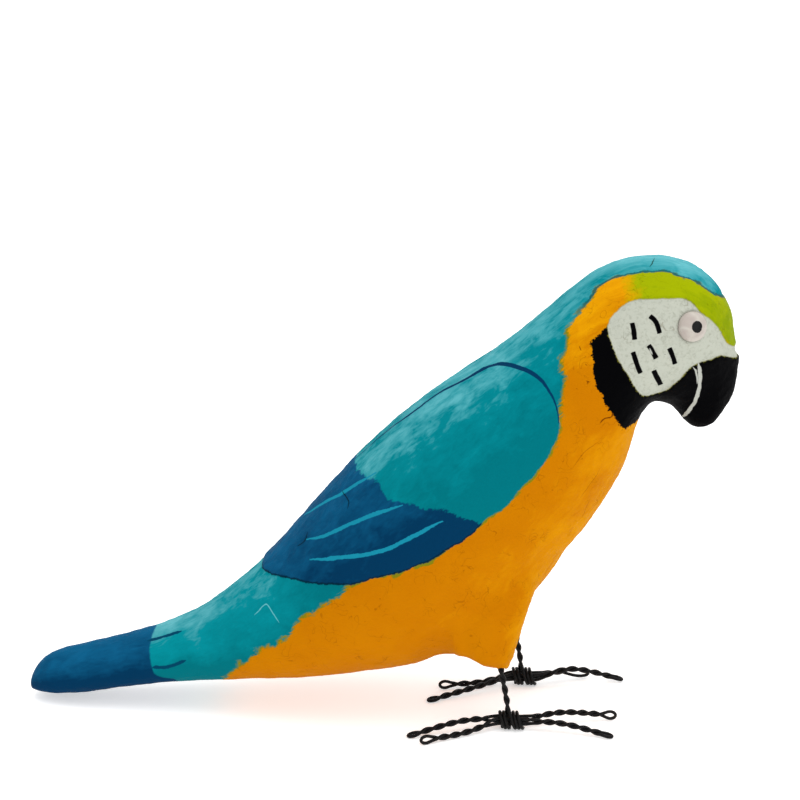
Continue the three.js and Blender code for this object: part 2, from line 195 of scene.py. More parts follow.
@dataclass
class Field:
    """The body's surface, on which paint is measured: shapes as seen from the side, and lines in space."""

    points: np.ndarray
    normals: np.ndarray

    def __post_init__(self) -> None:
        """Keeps the side view of the points."""
        self.spots = self.points[:, [0, 2]]

    @staticmethod
    def _nearest(spots: np.ndarray, corners: np.ndarray, closed: bool) -> tuple[np.ndarray, ...]:
        """The nearest place of a line to each spot.

        Args:
            spots: the spots, flat or in space.
            corners: the line's points.
            closed: whether its last point joins its first.

        Returns:
            For each spot the offset from the nearest place, its distance, the way along the line there (not
            capped at an open line's ends) and the line's direction there.
        """
        starts = corners if closed else corners[:-1]
        ends = np.roll(corners, -1, axis=0) if closed else corners[1:]
        walked = 0.0
        best = np.full(len(spots), np.inf)
        offset = np.zeros_like(spots)
        along = np.zeros(len(spots))
        heading = np.zeros_like(spots)
        for index, (start, end) in enumerate(zip(starts, ends)):
            length = float(np.linalg.norm(end - start))
            way = (end - start) / length
            reach = (spots - start) @ way
            low = -np.inf if not closed and index == 0 else 0.0
            high = np.inf if not closed and index == len(starts) - 1 else length
            capped = np.clip(reach, low, high)
            gap = spots - start - capped[:, None] * way
            distance = np.linalg.norm(gap, axis=1)
            nearer = distance < best
            best[nearer] = distance[nearer]
            offset[nearer] = gap[nearer]
            along[nearer] = walked + capped[nearer]
            heading[nearer] = way
            walked += length
        return offset, best, along, heading

    def _on_surface(self, offset: np.ndarray, distance: np.ndarray) -> np.ndarray:
        """Side-view distances made distances along the sloping surface.

        Args:
            offset: from the nearest place of a line to each spot.
            distance: its length.

        Returns:
            The distance along the surface, at most five times as long.
        """
        way = offset / np.maximum(distance, 1e-9)[:, None]
        facing = way[:, 0] * self.normals[:, 0] + way[:, 1] * self.normals[:, 2]
        return distance / np.maximum(np.sqrt(1 - np.minimum(facing**2, 1)), 0.2)

    def inside(self, shape: Points) -> np.ndarray:
        """How deep each spot lies inside a closed shape.

        Args:
            shape: its corners in percent of the length.

        Returns:
            The depth in metres, negative outside.
        """
        corners = rounded(shape, True)
        offset, distance, _, _ = self._nearest(self.spots, corners, True)
        within = np.zeros(len(self.spots), bool)
        for (x0, z0), (x1, z1) in zip(corners, np.roll(corners, -1, axis=0)):
            spans = (z0 > self.spots[:, 1]) != (z1 > self.spots[:, 1])
            if z1 != z0:
                within ^= spans & (self.spots[:, 0] < x0 + (self.spots[:, 1] - z0) * (x1 - x0) / (z1 - z0))
        return self._on_surface(offset, distance) * np.where(within, 1, -1)

    def brush(self, lines: tuple[Points, ...]) -> tuple[np.ndarray, np.ndarray]:
        """Where each spot lies by the nearest of some brush strokes.

        Args:
            lines: the strokes' points in percent of the length.

        Returns:
            The signed distance across the stroke, and the distance from its nearer end, negative beyond it.
        """
        across = np.full(len(self.spots), np.inf)
        ends = np.full(len(self.spots), -1.0)
        for line in lines:
            corners = rounded(line, False)
            offset, distance, along, heading = self._nearest(self.spots, corners, False)
            length = float(np.linalg.norm(np.diff(corners, axis=0), axis=1).sum())
            side = np.sign(heading[:, 0] * offset[:, 1] - heading[:, 1] * offset[:, 0])
            gap = self._on_surface(offset, distance) * side
            end = np.minimum(along, length - along)
            score = np.hypot(gap, np.minimum(end, 0))
            nearer = score < np.hypot(across, np.minimum(ends, 0))
            across[nearer] = gap[nearer]
            ends[nearer] = end[nearer]
        ends[np.abs(across) > 2 * MM] = -MM
        return across, ends

    def thread(self, line: Points) -> tuple[np.ndarray, np.ndarray]:
        """Where each spot lies by a line over the surface that both sides have alike.

        Args:
            line: its points in percent of the length.

        Returns:
            The signed distance across the line, and the way along it as a share of its length.
        """
        outwards = np.ones_like(self.points)
        outwards[:, 1] = np.where(self.points[:, 1] < 0, -1, 1)
        spots, normals = self.points * outwards, self.normals * outwards
        corners = rounded(line, False)
        offset, _, along, heading = self._nearest(spots, corners, False)
        flat = offset - np.sum(offset * normals, axis=1, keepdims=True) * normals
        side = np.sign(np.sum(np.cross(heading, normals) * flat, axis=1))
        length = float(np.linalg.norm(np.diff(corners, axis=0), axis=1).sum())
        return np.linalg.norm(flat, axis=1) * side, along / length

    def grain(self) -> np.ndarray:
        """The spots in the body's own directions.

        Returns:
            For each spot the way along the spine, the way sideways and the way up from the spine.
        """
        offset, distance, along, heading = self._nearest(self.spots, rounded(SPINE, False), False)
        side = np.sign(heading[:, 0] * offset[:, 1] - heading[:, 1] * offset[:, 0])
        return np.stack([along, self.points[:, 1], distance * side], axis=1)


def rounded(shape: Points, closed: bool, steps: int = 4) -> np.ndarray:
    """A smooth line through a shape's corners.

    Args:
        shape: its corners in percent of the length.
        closed: whether its last corner joins its first.
        steps: how many pieces each span becomes.

    Returns:
        The line's points in metres.
    """
    corners = np.array(shape) * PERCENT
    if len(corners) < 3:
        return corners
    if closed:
        before, after = np.roll(corners, 1, axis=0), np.roll(corners, -1, axis=0)
    else:
        before = np.vstack([2 * corners[0] - corners[1], corners[:-1]])
        after = np.vstack([corners[1:], 2 * corners[-1] - corners[-2]])
    slopes = (after - before) / 2
    spans = len(corners) if closed else len(corners) - 1
    points = []
    for index in range(spans):
        following = (index + 1) % len(corners)
        span = float(np.linalg.norm(corners[following] - corners[index]))
        for step in range(steps):
            t = step / steps
            here, there = slopes[index], slopes[following]
            reach_here = span / max(float(np.linalg.norm(here)), 1e-9)
            reach_there = span / max(float(np.linalg.norm(there)), 1e-9)
            points.append(
                (2 * t**3 - 3 * t**2 + 1) * corners[index]
                + (t**3 - 2 * t**2 + t) * here * min(reach_here, 1.0)
                + (3 * t**2 - 2 * t**3) * corners[following]
                + (t**3 - t**2) * there * min(reach_there, 1.0)
            )
    if not closed:
        points.append(corners[-1])
    return np.array(points)


Value = float | bpy.types.NodeSocket


class Recipe:
    """One material and the nodes that mix it."""

    def __init__(self, name: str) -> None:
        """Starts an empty material.

        Args:
            name: the material's name.
        """
        self.material = bpy.data.materials.new(name)
        self.material.use_nodes = True
        self.tree = self.material.node_tree
        self.tree.nodes.clear()
        self.place = self.tree.nodes.new("ShaderNodeTexCoord").outputs["Object"]

    def _feed(self, socket: bpy.types.NodeSocket, value: Value | Colour | Vector) -> None:
        """Links a socket, or sets its constant.

        Args:
            socket: the input.
            value: what goes in.
        """
        if isinstance(value, bpy.types.NodeSocket):
            self.tree.links.new(value, socket)
        else:
            socket.default_value = value

    def math(self, operation: str, *values: Value) -> bpy.types.NodeSocket:
        """A sum on one to three values.

        Args:
            operation: the Math node's operation.
            values: what it works on.

        Returns:
            Its result.
        """
        node = self.tree.nodes.new("ShaderNodeMath")
        node.operation = operation
        for socket, value in zip(node.inputs, values):
            self._feed(socket, value)
        return node.outputs[0]

    def attribute(self, name: str, output: str = "Fac") -> bpy.types.NodeSocket:
        """A measure stored on the piece's own points.

        Args:
            name: the measure's name.
            output: how it is read.

        Returns:
            Its value.
        """
        node = self.tree.nodes.new("ShaderNodeAttribute")
        node.attribute_name = name
        return node.outputs[output]

    def noise(self, size: float, detail: float = 2, stretch: tuple[float, float, float] = (1, 1, 1),
              turn: tuple[float, float, float] = (0, 0, 0), twist: float = 0,
              place: bpy.types.NodeSocket | None = None) -> bpy.types.NodeSocket:
        """Soft random blotches.

        Args:
            size: a blotch's size in metres.
            detail: how many finer layers they have.
            stretch: how much longer they are along each axis.
            turn: how the axes are turned, in radians.
            twist: how far their edges are pulled about.
            place: where they are read, or None for the object's own coordinates.

        Returns:
            A value round a half.
        """
        mapping = self.tree.nodes.new("ShaderNodeMapping")
        mapping.vector_type = "TEXTURE"
        mapping.inputs["Rotation"].default_value = turn
        mapping.inputs["Scale"].default_value = [size * share for share in stretch]
        self._feed(mapping.inputs["Vector"], place or self.place)
        node = self.tree.nodes.new("ShaderNodeTexNoise")
        node.inputs["Scale"].default_value = 1
        node.inputs["Detail"].default_value = detail
        node.inputs["Distortion"].default_value = twist
        self._feed(node.inputs["Vector"], mapping.outputs[0])
        return node.outputs["Fac"]

    def span(self, value: Value, low: float, high: float, start: Value = 0,
             end: Value = 1) -> bpy.types.NodeSocket:
        """A value carried from one range to another, with its ends held.

        Args:
            value: what is carried.
            low: where it gives start.
            high: where it gives end.
            start: the result's first end.
            end: its other end.

        Returns:
            The result.
        """
        node = self.tree.nodes.new("ShaderNodeMapRange")
        for socket, given in zip(node.inputs, (value, low, high, start, end)):
            self._feed(socket, given)
        return node.outputs[0]

    def mix(self, share: Value, below: Value | Colour, above: Value | Colour,
            blend: str = "MIX") -> bpy.types.NodeSocket:
        """One colour laid over another.

        Args:
            share: how much the upper one covers.
            below: the lower colour.
            above: the upper one.
            blend: how they mix.

        Returns:
            The mixed colour.
        """
        node = self.tree.nodes.new("ShaderNodeMix")
        node.data_type = "RGBA"
        node.blend_type = blend
        self._feed(node.inputs[0], share)
        self._feed(node.inputs[6], below)
        self._feed(node.inputs[7], above)
        return node.outputs[2]

    def bump(self, height: Value, reach: float, strength: float = 1) -> bpy.types.NodeSocket:
        """A fine relief.

        Args:
            height: its height, as a share of reach.
            reach: the height of one, in metres.
            strength: how much of it shows.

        Returns:
            The bent normal.
        """
        node = self.tree.nodes.new("ShaderNodeBump")
        node.inputs["Strength"].default_value = strength
        node.inputs["Distance"].default_value = reach
        self._feed(node.inputs["Height"], height)
        return node.outputs[0]

    def surface(self, **given: Value | Colour | Vector) -> bpy.types.Material:
        """Ends the recipe with its shader.

        Args:
            given: the shader's inputs, with _ for a space.

        Returns:
            The finished material.
        """
        shader = self.tree.nodes.new("ShaderNodeBsdfPrincipled")
        for name, value in given.items():
            self._feed(shader.inputs[name.replace("_", " ")], value)
        out = self.tree.nodes.new("ShaderNodeOutputMaterial")
        self.tree.links.new(shader.outputs[0], out.inputs["Surface"])
        return self.material


@dataclass(frozen=True)
class PaintedPaper:
    """Fibrous handmade paper under brushed satin paint, with painted light: paler where it faces up."""

    teal: Colour = paint(0, 102, 111)
    # Painted light: the lighter and the palest teal are lit copies of the teal; the palest also paints the
    # scratches.
    lit_teal: Colour = paint(2, 125, 135)
    teal_highlight_and_scratch: Colour = paint(92, 168, 176)
    # Painted shade in the crease above the brow band.
    crease_shade_teal: Colour = paint(0, 80, 84)
    navy: Colour = paint(2, 47, 79)
    # Painted light: the light navy is the navy's lit copy.
    lit_navy: Colour = paint(11, 84, 122)
    # Painted shadow under the wing's lower edge.
    wing_shadow_navy: Colour = paint(1, 24, 42)
    slate: Colour = paint(2, 60, 86)
    orange: Colour = paint(181, 110, 0)
    # Painted light: the golden and sunny oranges are lit copies of the orange, for forward- and upward-facing
    # skin.
    front_lit_orange: Colour = paint(196, 130, 2)
    top_lit_orange: Colour = paint(212, 148, 3)
    deep_orange: Colour = paint(174, 101, 0)
    olive: Colour = paint(116, 112, 16)
    lime: Colour = paint(141, 153, 2)
    # Painted shade: the deep lime is the lime's shaded copy, under the lit lime on upward faces.
    shaded_lime: Colour = paint(118, 136, 2)
    white: Colour = paint(170, 173, 161)
    grey: Colour = paint(146, 149, 136)
    chalk: Colour = paint(166, 168, 160)
    black: Colour = paint(3, 3, 4)
    feather: Colour = paint(20, 124, 148)
    stain: Colour = paint(150, 128, 112)
    # Darker orange lines along the breast's creases.
    crease_line_orange: Colour = paint(150, 86, 0)
    fibre: Colour = paint(214, 208, 202)
    roughness: float = 0.55

    def mixed(self) -> bpy.types.Material:
        """Mixes the body's paint, which reads its edges from the skin's own points.

        Returns:
            The material.
        """
        mix = Recipe("painted_paper")
        grain = mix.attribute("grain", "Vector")
        upward = mix.attribute("upward")
        coarse = mix.noise(5 * MM, 3)
        ragged = mix.noise(1.3 * MM, 3, twist=0.6)
        wobble = mix.math("ADD", mix.span(coarse, 0.2, 0.8, -1.0 * MM, 1.0 * MM),
                          mix.span(ragged, 0.2, 0.8, -0.5 * MM, 0.5 * MM))
        tight = mix.math("MULTIPLY", wobble, 0.35)
        fine = mix.math("MULTIPLY", wobble, 0.2)
        bristles = mix.noise(1.5 * MM, 5, (3.5, 1.2, 1.2), twist=1.0, place=grain)
        mottle = mix.noise(7 * MM, 5, (1.8, 1, 1), twist=0.8, place=grain)
        blotch = mix.noise(24 * MM, 3, twist=0.5)

        def brushed(facing: Value, low: float, high: float, stroke: float = 0.9) -> Value:
            """A mask that follows a measure, broken up by brush marks.

            Args:
                facing: the measure.
                low: where the mask begins.
                high: where it is full.
                stroke: how strongly the brush marks break it up.

            Returns:
                The mask.
            """
            uneven = mix.math("ADD", mix.span(bristles, 0, 1, -stroke / 2, stroke / 2),
                              mix.math("ADD", mix.span(mottle, 0, 1, -stroke, stroke),
                                       mix.span(blotch, 0, 1, -0.3, 0.3)))
            return mix.span(mix.math("ADD", facing, uneven), low, high)

        def coat(below: Value | Colour, above: Value | Colour, name: str, edge: float, stray: Value) -> Value:
            """A colour laid over another within a painted shape.

            Args:
                below: the lower colour.
                above: the upper one.
                name: the shape's measure on the body.
                edge: half the width over which its edge fades.
                stray: how far its edge wanders.

            Returns:
                The colour with the shape on it.
            """
            depth = mix.math("ADD", mix.attribute(name), stray)
            return mix.mix(mix.span(depth, -edge, edge), below, above)

        # Painted light: the teal is lighter where the skin faces up and low on the body, and palest on the
        # most upward faces.
        teal_lit_share = mix.math("ADD", upward, mix.span(mix.attribute("height"), 45 * MM, 70 * MM, 0.3, 0))
        teal = mix.mix(brushed(teal_lit_share, 0.2, 0.8, 0.4), self.teal, self.lit_teal)
        teal = mix.mix(brushed(upward, 0.6, 1.1, 0.4), teal, self.teal_highlight_and_scratch)
        # Painted light: the orange turns golden where the skin faces forwards or up, and sunnier where it
        # faces up; the deep orange blotches are random tone.
        facing = mix.math("MAXIMUM", upward, mix.math("MULTIPLY", mix.attribute("forward"), 0.9))
        orange = mix.mix(mix.span(blotch, 0.38, 0.6, 0.5, 0), self.orange, self.deep_orange)
        orange = mix.mix(brushed(facing, 0.3, 0.8, 0.4), orange, self.front_lit_orange)
        orange = mix.mix(brushed(upward, 0.3, 1.0, 0.4), orange, self.top_lit_orange)
        # Painted light and shade: the lime is lit on upward faces and darker below.
        lime = mix.mix(brushed(upward, 0.1, 0.6, 0.6), self.shaded_lime, self.lime)
        # Painted light: the navy is lighter where the skin faces up.
        navy = mix.mix(brushed(upward, 0.1, 1.0, 0.5), self.navy, self.lit_navy)
        white = mix.mix(mix.span(ragged, 0.5, 0.8), self.white, self.grey)

        swept = mix.math("ADD", wobble, mix.span(bristles, 0.3, 0.7, -0.9 * MM, 0.9 * MM))
        fringe = mix.math("ADD", swept, mix.span(coarse, 0.35, 0.65, 0.1 * MM, 1.3 * MM))
        colour = coat(teal, self.olive, "breast", 0.7 * MM, fringe)
        colour = coat(colour, orange, "breast", 0.5 * MM, mix.math("SUBTRACT", swept, 0.2 * MM))
        brow = mix.math("MULTIPLY",
                        mix.span(mix.math("ADD", mix.attribute("brow"), mix.math("MULTIPLY", wobble, 3)),
                                 -4 * MM, 4 * MM),
                        mix.span(mix.math("ADD", mix.attribute("breast"), tight), -0.4 * MM, 0.4 * MM))
        colour = mix.mix(brow, colour, lime)
        # Painted shade: a dark teal line along the crease just above the brow band, on the crown.
        fold = mix.math("ADD", mix.math("ADD", mix.attribute("breast"), 0.8 * MM), wobble)
        fold = mix.math("ABSOLUTE", fold)
        crown = mix.span(mix.attribute("height"), 176 * MM, 184 * MM, 0, 0.85)
        fold = mix.math("MULTIPLY", mix.span(fold, 1.1 * MM, 0.4 * MM), crown)
        colour = mix.mix(fold, colour, self.crease_shade_teal)
        colour = coat(colour, navy, "tail", 0.4 * MM, tight)
        ragged_wing = mix.math("ADD", mix.attribute("wing"), mix.math("MULTIPLY", wobble, 0.7))
        stain = mix.math("ADD", ragged_wing, mix.span(mottle, 0.4, 0.65, -0.3 * MM, 2.4 * MM))
        stain = mix.math("MINIMUM", stain, mix.attribute("breast"))
        colour = mix.mix(mix.span(stain, -0.3 * MM, 0.5 * MM), colour, self.olive)
        colour = mix.mix(mix.span(ragged_wing, -0.3 * MM, 0.3 * MM), colour, teal)
        flights = mix.math("MINIMUM", mix.math("ADD", mix.attribute("flights"), swept), ragged_wing)
        colour = mix.mix(mix.span(flights, -0.3 * MM, 0.5 * MM), colour, navy)
        # Painted shadow: a near-black navy line along the wing's lower edge, over the flights.
        under = mix.math("ABSOLUTE", mix.math("SUBTRACT", ragged_wing, 0.2 * MM))
        under = mix.math("MULTIPLY", mix.span(under, 0.6 * MM, 0.15 * MM),
                         mix.span(mix.attribute("flights"), -MM, MM, 0, 0.9))
        colour = mix.mix(under, colour, self.wing_shadow_navy)
        colour = self._stroke(mix, colour, self.feather, "feather", 0.85 * MM, 10 * MM, tight)
        colour = self._stroke(mix, colour, self.slate, "dash", 0.75 * MM, 2 * MM, tight)
        line = mix.math("ABSOLUTE", mix.math("ADD", mix.attribute("rim"), fine))
        line = mix.math("SUBTRACT", mix.attribute("rim_half"), line)
        colour = mix.mix(mix.span(line, -0.15 * MM, 0.15 * MM), colour, self.navy)
        frayed = mix.math("ADD", wobble, mix.span(ragged, 0.5, 0.75, 0, 0.8 * MM))
        colour = coat(colour, self.black, "beard", 0.25 * MM, frayed)
        smeared = mix.math("ADD", tight, mix.span(ragged, 0.45, 0.7, 0, 0.5 * MM))
        colour = coat(colour, self.olive, "face", 0.3 * MM, smeared)
        colour = coat(colour, white, "face", 0.25 * MM, tight)
        colour = self._stroke(mix, colour, self.black, "cheek", 1.0 * MM, 0.1 * MM, fine)
        colour = self._stroke(mix, colour, self.chalk, "nick", 0.3 * MM, MM, fine)
        colour = self._stroke(mix, colour, self.chalk, "mouth", 0.78 * MM, 2 * MM, tight)
        colour = self._stroke(mix, colour, self.chalk, "lip", 0.35 * MM, 2 * MM, fine)
        stained = mix.mix(1.0, colour, self.stain, "MULTIPLY")
        colour = self._stroke(mix, colour, stained, "mark", 0.25 * MM, MM, fine)
        # Darker orange lines along the breast's creases.
        colour = self._stroke(mix, colour, self.crease_line_orange, "crease", 0.15 * MM, 3 * MM, fine)
        colour = self._stroke(mix, colour, self.teal_highlight_and_scratch, "scratch", 0.2 * MM, 2 * MM, fine)

        hairs = mix.span(mix.math("ABSOLUTE", mix.math("SUBTRACT", mix.noise(6 * MM, 1, twist=1.2), 0.5)),
                         0.003, 0.012, 1, 0)
        sparse = mix.math("MULTIPLY", hairs, mix.span(mix.noise(9 * MM, 1), 0.48, 0.6, 0, 0.8))
        bare = mix.math("MULTIPLY", mix.span(mix.attribute("breast"), -MM, 0), mix.span(ragged_wing, 0, -MM))
        sparse = mix.math("MULTIPLY", sparse, bare)
        colour = mix.mix(sparse, colour, self.fibre, "MULTIPLY")

        fibres = mix.noise(0.5 * MM, 4, (5, 1, 1), (0.4, 0.6, 0.3), 1.5)
        crossed = mix.noise(0.45 * MM, 3, (1, 1, 6), (0.7, 0.2, 1.1), 1.5)
        height = mix.math("ADD", mix.math("ADD", fibres, crossed), mix.math("MULTIPLY", bristles, 1.2))
        height = mix.math("SUBTRACT", height, mix.math("MULTIPLY", sparse, 0.8))
        rough = mix.span(bristles, 0.3, 0.7, self.roughness + 0.08, self.roughness - 0.08)
        return mix.surface(Base_Color=colour, Roughness=rough, Normal=mix.bump(height, 0.22 * MM, 0.6),
                           Specular_IOR_Level=0.01)

    @staticmethod
    def _stroke(mix: Recipe, below: Value, colour: Value | Colour, name: str, half: float, taper: float,
                stray: Value) -> Value:
        """A thin brush stroke laid over a colour.

        Args:
            mix: the recipe.
            below: the colour below it.
            colour: the stroke's own.
            name: the stroke's measures on the body.
            half: half its width in metres.
            taper: the length over which each end comes to a point.
            stray: how far its edges wander.

        Returns:
            The colour with the stroke on it.
        """
        ends = mix.attribute(name + "_end")
        width = mix.span(ends, 0, taper, 0.25 * half, half)
        across = mix.math("ABSOLUTE", mix.math("ADD", mix.attribute(name), stray))
        depth = mix.math("MINIMUM", mix.math("SUBTRACT", width, across), ends)
        return mix.mix(mix.span(depth, -0.12 * MM, 0.12 * MM), below, colour)


@dataclass(frozen=True)
class PearlBead:
    """A pearly bead with a painted pupil."""

    pearl: Colour = paint(176, 170, 161)
    lustre: Colour = paint(162, 152, 145)
    pupil: Colour = paint(4, 4, 5)

    def mixed(self) -> bpy.types.Material:
        """Mixes the pearl, which reads the pupil's edge from the bead's own points.

        Returns:
            The material.
        """
        mix = Recipe("pearl_bead")
        cloud = mix.noise(5 * MM, 3, twist=0.8)
        ground = mix.mix(mix.span(cloud, 0.35, 0.7), self.pearl, self.lustre)
        depth = mix.attribute("pupil")
        depth = mix.math("ADD", depth, mix.span(mix.noise(1 * MM), 0.2, 0.8, -0.15 * MM, 0.15 * MM))
        spot = mix.span(depth, -0.1 * MM, 0.1 * MM)
        colour = mix.mix(spot, ground, self.pupil)
        return mix.surface(Base_Color=colour, Roughness=mix.span(cloud, 0.2, 0.8, 0.2, 0.3),
                           Specular_IOR_Level=0.12, Normal=mix.bump(mix.noise(0.8 * MM, 2), 0.02 * MM))


@dataclass(frozen=True)
class AnnealedWire:
    """Black annealed iron wire with its scale."""

    scale: Colour = paint(9, 8, 9)
    worn: Colour = paint(40, 36, 34)
    roughness: float = 0.42

    def mixed(self) -> bpy.types.Material:
        """Mixes the finish of the legs and toes.

        Returns:
            The material.
        """
        mix = Recipe("annealed_wire")
        flakes = mix.noise(0.9 * MM, 4, twist=0.5)
        drawn = mix.noise(0.25 * MM, 3)
        colour = mix.mix(mix.span(flakes, 0.55, 0.75, 0, 0.6), self.scale, self.worn)
        return mix.surface(Base_Color=colour, Specular_IOR_Level=0.12,
                           Roughness=mix.span(flakes, 0.3, 0.7, self.roughness + 0.12, self.roughness - 0.08),
                           Normal=mix.bump(mix.math("ADD", flakes, drawn), 0.05 * MM))


@dataclass(frozen=True)
class StudioFloor:
    """A plain matt white floor, lit a little from below as a photographer's table is."""

    colour: Colour = paint(226, 226, 226)
    pale: Colour = paint(248, 248, 248)
    glow: float = 0.55

    def mixed(self) -> bpy.types.Material:
        """Mixes the floor's white.

        Returns:
            The material.
        """
        mix = Recipe("studio_floor")
        tone = mix.mix(mix.span(mix.noise(0.4), 0.3, 0.7), self.colour, self.pale)
        return mix.surface(Base_Color=tone, Roughness=0.9, Specular_IOR_Level=0.1,
                           Emission_Color=self.colour, Emission_Strength=self.glow)


def keep_shape(obj: bpy.types.Object) -> bpy.types.Mesh:
    """The mesh that an object's modifiers leave.

    Args:
        obj: the object, in the scene.

    Returns:
        A new mesh, once the object itself is gone.
    """
    depsgraph = bpy.context.evaluated_depsgraph_get()
    mesh = bpy.data.meshes.new_from_object(obj.evaluated_get(depsgraph), depsgraph=depsgraph)
    bpy.data.objects.remove(obj)
    return mesh


def stand_in_for(node: str, name: str, mesh: bpy.types.Mesh,
                 material: bpy.types.Material) -> bpy.types.Object:
    """Puts a finished mesh in the place of a CAD node.

    Args:
        node: the node.
        name: the new piece's name.
        mesh: its mesh, in place.
        material: its material.

    Returns:
        The piece.
    """
    mesh.name = name
    mesh.materials.clear()
    mesh.materials.append(material)
    mesh.polygons.foreach_set("use_smooth", [True] * len(mesh.polygons))
    piece = bpy.data.objects.new(name, mesh)
    bpy.context.scene.collection.objects.link(piece)
    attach(piece, "root")
    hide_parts(node)
    log.info("%s: %d faces", name, len(mesh.polygons))
    return piece


@dataclass
class PaperSkin:
    """The body's whole skin: the solid's form, smoothed, with its creases, wing rims and painted shapes."""

    voxel: float = 1.03 * MM
    wing_lip: float = 0.7 * MM
    face_sink: float = 0.8 * MM
    beak_lip: float = 0.4 * MM
    crease: float = 0.45 * MM
    bill_slim: float = 0.9 * MM
    forehead_swell: float = 0.7 * MM
    mouth_groove: float = 0.35 * MM
    eye_middle: tuple[float, float, float] = (127.7 * MM, 24 * MM, 176.1 * MM)
    thigh_rounds: int = 100
    even_rounds: int = 10
    thigh_top: float = 78 * MM
    tail_cap: float = -100 * MM
    rim_widths: Points = ((0, 0.25, 0.5, 0.66, 0.8, 0.9, 1), (0.2, 0.6, 0.8, 1.15, 0.85, 0.4, 0.15))

    def build(self, material: bpy.types.Material) -> bpy.types.Object:
        """Makes the skin.

        Args:
            material: the painted paper.

        Returns:
            The finished piece.
        """
        mesh = self._fine_copy()
        count = len(mesh.vertices)
        spots = np.zeros(count * 3)
        mesh.vertices.foreach_get("co", spots)
        spots = spots.reshape(-1, 3)
        edges = np.zeros(len(mesh.edges) * 2, np.int64)
        mesh.edges.foreach_get("vertices", edges)
        edges = edges.reshape(-1, 2)
        spots = self._relaxed(spots, edges)
        self._store(mesh, spots)
        normals = np.array([tuple(vertex.normal) for vertex in mesh.vertices])
        field = Field(spots, normals)
        measures = self._measure(field)
        self._store(mesh, spots + normals * self._relief(spots, measures)[:, None])
        for name, values in measures.items():
            layer = mesh.attributes.new(name, "FLOAT", "POINT")
            layer.data.foreach_set("value", values.astype(np.float32))
        layer = mesh.attributes.new("grain", "FLOAT_VECTOR", "POINT")
        layer.data.foreach_set("vector", field.grain().astype(np.float32).ravel())
        return stand_in_for("body", "paper_skin", mesh, material)

    def _fine_copy(self) -> bpy.types.Mesh:
        """Copies the solid's form and rounds its facets.

        Returns:
            An even fine mesh.
        """
        form = bmesh.new()
        form.from_mesh(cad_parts["body"].data)
        bmesh.ops.remove_doubles(form, verts=form.verts, dist=0.001 * MM)
        bmesh.ops.join_triangles(form, faces=form.faces, angle_face_threshold=math.radians(25),
                                 angle_shape_threshold=math.radians(70), cmp_seam=False, cmp_sharp=False,
                                 cmp_uvs=False, cmp_vcols=False, cmp_materials=False)
        crease = form.edges.layers.float.new("crease_edge")
        for edge in form.edges:
            if edge.calc_face_angle(0) > math.radians(50):
                edge[crease] = 1 if edge.verts[0].co.x > self.tail_cap else 0.6
        mesh = bpy.data.meshes.new("paper_form")
        form.to_mesh(mesh)
        form.free()
        rough = bpy.data.objects.new("paper_form", mesh)
        bpy.context.scene.collection.objects.link(rough)
        rounding = rough.modifiers.new("rounding", "SUBSURF")
        rounding.levels = rounding.render_levels = 2
        even = rough.modifiers.new("even", "REMESH")
        even.mode = "VOXEL"
        even.voxel_size = self.voxel
        return keep_shape(rough)

    def _relaxed(self, spots: np.ndarray, edges: np.ndarray) -> np.ndarray:
        """Evens the surface out, most where the thighs grow out of the belly.

        Args:
            spots: the points.
            edges: the pairs of points that an edge joins.

        Returns:
            The moved points.
        """
        height = spots[:, 2]
        near = 1 - smoothstep(np.abs(np.abs(spots[:, 1]) - LEG_SPACING / 2), 13 * MM, 20 * MM)
        rear = smoothstep(height, 17 * MM, 23 * MM) * (1 - smoothstep(spots[:, 0], 41 * MM, 48 * MM))
        lap = np.maximum(smoothstep(height, 33 * MM, 38 * MM), rear)
        lap *= 1 - smoothstep(height, self.thigh_top, self.thigh_top + 8 * MM)
        seam = near * lap * smoothstep(spots[:, 0], 28 * MM, 36 * MM)
        seam *= 1 - smoothstep(spots[:, 0], 72 * MM, 80 * MM)
        degree = np.bincount(edges.ravel(), minlength=len(spots))[:, None]

        def pulled(points: np.ndarray, share: np.ndarray | float) -> np.ndarray:
            """Pulls each point towards the middle of its neighbours.

            Args:
                points: the points.
                share: how far they go, or away from it where negative.

            Returns:
                The moved points.
            """
            total = np.zeros_like(points)
            for axis in range(3):
                total[:, axis] = np.bincount(edges[:, 0], points[edges[:, 1], axis], len(points))
                total[:, axis] += np.bincount(edges[:, 1], points[edges[:, 0], axis], len(points))
            return points + share * (total / degree - points)

        for _ in range(self.thigh_rounds):
            spots = pulled(spots, 0.5 * seam[:, None])
        for _ in range(self.even_rounds):
            spots = pulled(pulled(spots, 0.5), -0.52)
        return spots

    def _measure(self, field: Field) -> dict[str, np.ndarray]:
        """All that the paint follows, measured on the skin.

        Args:
            field: the skin.

        Returns:
            The measures by name: metres, but for the shares by which the skin faces up and forwards.
        """
        measures = {
            "breast": field.inside(BREAST),
            "brow": field.inside(BROW),
            "wing": field.inside(WING),
            "flights": field.inside(FLIGHTS),
            "face": field.inside(FACE),
            "beard": field.inside(BEARD),
            "tail": field.inside(TAIL),
            "height": field.points[:, 2],
            "upward": field.normals[:, 2],
            "forward": field.normals[:, 0],
        }
        strokes = {
            "feather": FEATHERS,
            "dash": DASHES,
            "cheek": CHEEK,
            "nick": NICKS,
            "mouth": MOUTH,
            "lip": LIP,
            "mark": MARKS,
            "crease": CREASES,
            "scratch": SCRATCHES,
        }
        for name, lines in strokes.items():
            measures[name], measures[name + "_end"] = field.brush(lines)
        beside_spine = 3 * (np.abs(field.points[:, 1]) - 3 * MM)
        measures["feather_end"] = np.minimum(measures["feather_end"], beside_spine)
        measures["rim"], walked = field.thread(RIM)
        measures["rim_half"] = np.interp(walked, *self.rim_widths, left=-1, right=-1) * MM
        return measures

